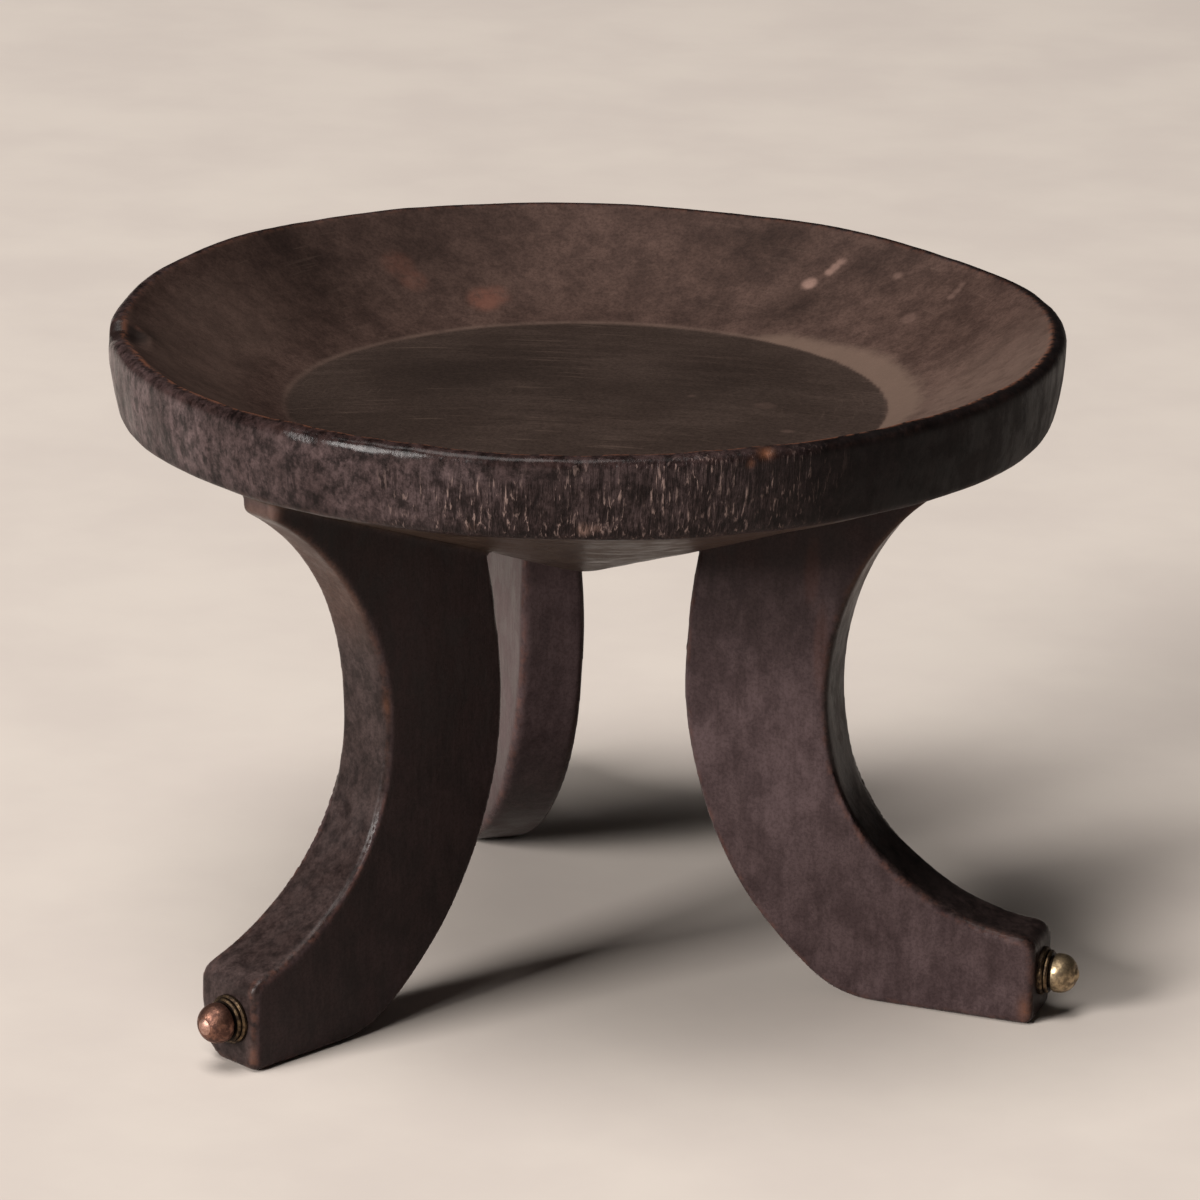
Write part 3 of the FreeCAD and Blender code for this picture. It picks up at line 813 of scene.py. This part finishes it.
def stain_and_paint_light(mix, patterns, colour):
    """Dark stains, rubbed red patches, pale spots, and painted light on the tip of the left leg's flare."""
    stained = mix.times(mix.painted("stained"), mix.step(patterns.broad, 0, 1, 0.7, 1.0))
    colour = mix.shaded(stained, colour, STAIN_SHADE)
    rubbed = mix.times(mix.painted("rubbed"), mix.step(patterns.ragged, 0, 1, 0.25, 0.7))
    colour = mix.blend(rubbed, colour, RUBBED_COLOUR)
    spots = mix.times(mix.painted("pale_spots_and_painted_light"), mix.step(patterns.ragged, 0, 1, 0.6, 0.9))
    return mix.blend(spots, colour, SPOT_AND_PAINTED_LIGHT_COLOUR)


def score_band(mix, colour):
    """Upright scratches in the rim band."""
    scored = mix.step(mix.cloud(560, (1, 1, 0.09), detail=3, twist=0.4), 0.56, 0.64)
    scored = mix.times(scored, mix.step(mix.cloud(60, detail=4), 0.42, 0.60))
    scored = mix.times(scored, mix.painted("band"))
    return mix.blend(mix.times(scored, 0.6), colour, SCORE_COLOUR)


def dish_scratches(mix):
    """Share of the curved scratches across the floor and the wall of the dish."""
    arcs = mix.step(mix.ring_cloud(600, 0.014, STROKE_CENTRE), 0.58, 0.72)
    rings = mix.step(mix.ring_cloud(650, 0.008), 0.62, 0.72)
    marks = mix.plus(mix.times(arcs, mix.painted("dish_floor")), mix.times(rings, mix.mark("dish", 0.4)))
    return mix.times(marks, mix.step(mix.cloud(35), 0.42, 0.62))


def dust_and_paint_sheen(mix, patterns, colour):
    """Haze on the wall of the dish with the painted sheen on its left, and the drift with its ragged edge."""
    ragged_drift = mix.plus(mix.painted("drift"), mix.times(mix.plus(patterns.ragged, -0.5), 0.3))
    drifted = mix.times(mix.step(ragged_drift, 0.0, 1.0), mix.step(mix.painted("drift"), 0.02, 0.15))
    # haze, with the painted sheen on the left wall
    hazy = mix.times(mix.painted("haze"), mix.step(patterns.ragged, 0, 1, 0.6, 1.0))
    colour = mix.blend(hazy, colour, HAZE_AND_SHEEN_COLOUR)
    return mix.blend(mix.times(drifted, 0.8), colour, DUST_COLOUR)


def check_band_and_paint_glints(mix, patterns, colour):
    """Fine checks in the rim band run with the grain, dark beside pale ridges that are painted highlights."""
    broken = mix.step(mix.cloud(120, (1, 1, 0.8), detail=5, rough=0.65), 0.40, 0.60)
    gaps = mix.times(mix.step(patterns.bark, 0.47, 0.40), mix.painted("cracked"))
    glinting_ridges = mix.times(mix.times(mix.step(patterns.bark, 0.570, 0.630), broken), mix.painted("cracked"))
    colour = mix.blend(mix.times(gaps, 0.7), colour, GAP_COLOUR)
    # pale ridges: painted highlights on the checks
    return mix.blend(mix.times(glinting_ridges, 0.85), colour, RIDGE_PAINTED_HIGHLIGHT_COLOUR)


def bare_edges(mix, patterns, colour):
    """Worn edges, the line of the crest and chips show the red wood."""
    worn = mix.times(mix.painted("wear"), patterns.rub)
    colour = mix.blend(mix.times(worn, 0.42), colour, WORN_COLOUR)
    bare = mix.times(mix.painted("crest"), mix.step(mix.cloud(380, detail=4), 0.40, 0.58))
    colour = mix.blend(mix.times(bare, 0.85), colour, BARE_CREST_COLOUR)
    chipped = mix.times(mix.painted("chipped"), mix.step(patterns.rub, 0, 1, 0.55, 0.9))
    return mix.blend(chipped, colour, CHIP_COLOUR)


def wood_roughness(mix, patterns):
    """Mottled roughness: even and dull in the dish, duller in dust and on the band's painted shade and darker
    foot, shinier where it is handled.
    """
    roughness = mix.step(patterns.mottle, 0, 1, 0.30, 0.44)
    roughness = mix.times(roughness, mix.step(mix.painted("dish"), 0, 1, 1.0, 0.2))
    for name, change in ROUGHNESS_CHANGES.items():
        roughness = mix.plus(roughness, mix.mark(name, change))
    return roughness


def wood_relief(mix, patterns, scratched):
    """Grain, mottle, checks and scratches."""
    mottled = mix.times(patterns.mottle, mix.step(mix.painted("dish"), 0, 1, 1.0, 0.15))
    relief = mix.bump(patterns.grain, GRAIN_DEPTH)
    relief = mix.bump(mottled, MOTTLE_DEPTH, relief)
    relief = mix.bump(mix.times(patterns.bark, mix.painted("cracked")), CHECK_DEPTH, relief)
    return mix.bump(mix.times(scratched, -1.0), SCRATCH_DEPTH, relief)


def make_wood():
    """Old dark wood: upright grain, mottled patina, worn edges, dust in the dish and checks in the band."""
    mix = Recipe("dark_wood")
    patterns = wood_patterns(mix)
    scratched = dish_scratches(mix)
    colour = part_colours(mix, patterns)
    colour = weather_and_paint_shade(mix, patterns, colour)
    colour = stain_and_paint_light(mix, patterns, colour)
    colour = score_band(mix, colour)
    colour = mix.blend(mix.times(scratched, 0.22), colour, SCRATCH_COLOUR)
    colour = dust_and_paint_sheen(mix, patterns, colour)
    colour = check_band_and_paint_glints(mix, patterns, colour)
    colour = bare_edges(mix, patterns, colour)
    roughness = wood_roughness(mix, patterns)
    relief = wood_relief(mix, patterns, scratched)
    return mix.finish(Base_Color=colour, Roughness=roughness, Specular_IOR_Level=WOOD_SPECULAR, Normal=relief)


# Metals, where rubbed bright and where dull, and the metal of each piece of a foot
METALS = {
    "aged_brass": ((0.46, 0.345, 0.21), (0.17, 0.125, 0.080)),
    "aged_copper": ((0.27, 0.135, 0.095), (0.09, 0.046, 0.036)),
    "rubbed_copper": ((0.56, 0.35, 0.28), (0.32, 0.18, 0.14)),
    "dull_brass": ((0.18, 0.120, 0.068), (0.034, 0.023, 0.016)),
}
FITTING_METALS = {"collar": "dull_brass", "washer": "dull_brass", "dome": "aged_brass", "pin": "aged_brass"}
LEFT_FITTING_METALS = {**FITTING_METALS, "dome": "aged_copper", "pin": "rubbed_copper"}
TARNISH = (0.020, 0.013, 0.010)
GROOVE_REACH = 0.003
PITTING_DEPTH = 0.00012


def make_metal(name, bright, dull):
    """Old turned metal: rubbed bright where it stands out, dark in the grooves."""
    mix = Recipe(name)
    rubbed = mix.step(mix.cloud(420, detail=5, rough=0.65), 0.38, 0.66)
    colour = mix.blend(rubbed, dull, bright)
    shade = mix.add("ShaderNodeAmbientOcclusion", samples=8)
    mix.feed(shade.inputs["Distance"], GROOVE_REACH)
    colour = mix.blend(mix.step(shade.outputs["AO"], 0.45, 0.90), TARNISH, colour)
    roughness = mix.step(rubbed, 0, 1, 0.56, 0.40)
    relief = mix.bump(mix.cloud(1600, detail=2), PITTING_DEPTH)
    return mix.finish(Base_Color=colour, Metallic=1.0, Roughness=roughness, Normal=relief)


def dress_fittings():
    """Brass fittings on each foot, but a copper stud on the left one."""
    metals = {name: make_metal(name, *colours) for name, colours in METALS.items()}
    for side in LEG_ANGLE:
        fittings = LEFT_FITTING_METALS if side == "left" else FITTING_METALS
        for piece, metal in fittings.items():
            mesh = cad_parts[f"{side}_foot_{piece}"].data
            mesh.materials.clear()
            mesh.materials.append(metals[metal])


# Floor, light and camera
FLOOR_HALF_SIDE = 30
FLOOR_COLOURS = (0.62, 0.55, 0.50), (0.67, 0.60, 0.54)
FLOOR_BOUNCE_COLOUR = (0.20, 0.17, 0.148)
FLOOR_ROUGHNESS = 0.9
LAMPS = {
    "key": {"side": 4.0, "power": 1720, "azimuth": 219, "elevation": 22, "distance": 12},
    "overhead": {"side": 5.6, "power": 800, "azimuth": 219, "elevation": 72, "distance": 10},
}
LAMP_COLOUR = (1.0, 0.97, 0.94)
FILL_COLOUR, FILL_STRENGTH = (0.96, 0.93, 0.90), 0.028
LENS_LENGTH, SENSOR_WIDTH = 180, 36
CAMERA_PLACE = (-0.0022, -2.01641, 0.7831)
CAMERA_HEADING, CAMERA_DIP, CAMERA_ROLL = -0.00345, 0.31293, 0.028  # radians


def make_floor():
    """A plain pale floor, which throws back less light than it shows so that shaded sides stay dark."""
    half = FLOOR_HALF_SIDE
    mesh = bpy.data.meshes.new("floor")
    corners = [(-half, -half, 0), (half, -half, 0), (half, half, 0), (-half, half, 0)]
    mesh.from_pydata(corners, [], [(0, 1, 2, 3)])
    floor = add_object("floor", mesh)
    mix = Recipe("pale_floor")
    pale = mix.blend(mix.step(mix.cloud(9, detail=6), 0.3, 0.7), *FLOOR_COLOURS)
    path = mix.add("ShaderNodeLightPath").outputs
    shown = mix.maths("MAXIMUM", path["Is Camera Ray"], path["Is Glossy Ray"])
    shown = mix.maths("MAXIMUM", shown, path["Is Transmission Ray"])
    colour = mix.blend(shown, FLOOR_BOUNCE_COLOUR, pale)
    mesh.materials.append(mix.finish(Base_Color=colour, Roughness=FLOOR_ROUGHNESS))


def add_lamp(name, side, power, azimuth, elevation, distance):
    """A square soft lamp that faces the stool from a direction."""
    lamp = bpy.data.lights.new(name, "AREA")
    lamp.shape = "SQUARE"
    lamp.size = side
    lamp.energy = power
    lamp.color = LAMP_COLOUR
    holder = add_object(name, lamp)
    holder.location = distance * direction(azimuth, elevation)
    holder.rotation_euler = (math.radians(90 - elevation), 0, math.radians(azimuth + 90))


def make_light():
    """A large soft lamp at the front left, a softer one overhead and an even weak fill."""
    for name, settings in LAMPS.items():
        add_lamp(name, **settings)
    world = bpy.data.worlds.new("fill")
    world.use_nodes = True
    background = world.node_tree.nodes["Background"]
    background.inputs["Color"].default_value = (*FILL_COLOUR, 1)
    background.inputs["Strength"].default_value = FILL_STRENGTH
    bpy.context.scene.world = world


def make_camera():
    """A camera far off, looking down on the seat, a little tilted."""
    lens = bpy.data.cameras.new("camera")
    lens.lens = LENS_LENGTH
    lens.sensor_width = SENSOR_WIDTH
    camera = add_object("camera", lens)
    heading = Matrix.Rotation(CAMERA_HEADING, 4, "Z")
    pitch = Matrix.Rotation(math.pi / 2 - CAMERA_DIP, 4, "X")
    roll = Matrix.Rotation(CAMERA_ROLL, 4, "Z")
    camera.matrix_world = Matrix.Translation(CAMERA_PLACE) @ heading @ pitch @ roll
    bpy.context.scene.camera = camera


wood = make_stool_wood()
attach(wood, "root")
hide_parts("stool_body")
wood.data.materials.append(make_wood())
dress_fittings()
make_floor()
make_light()
make_camera()
bpy.context.scene.view_settings.view_transform = "Standard"
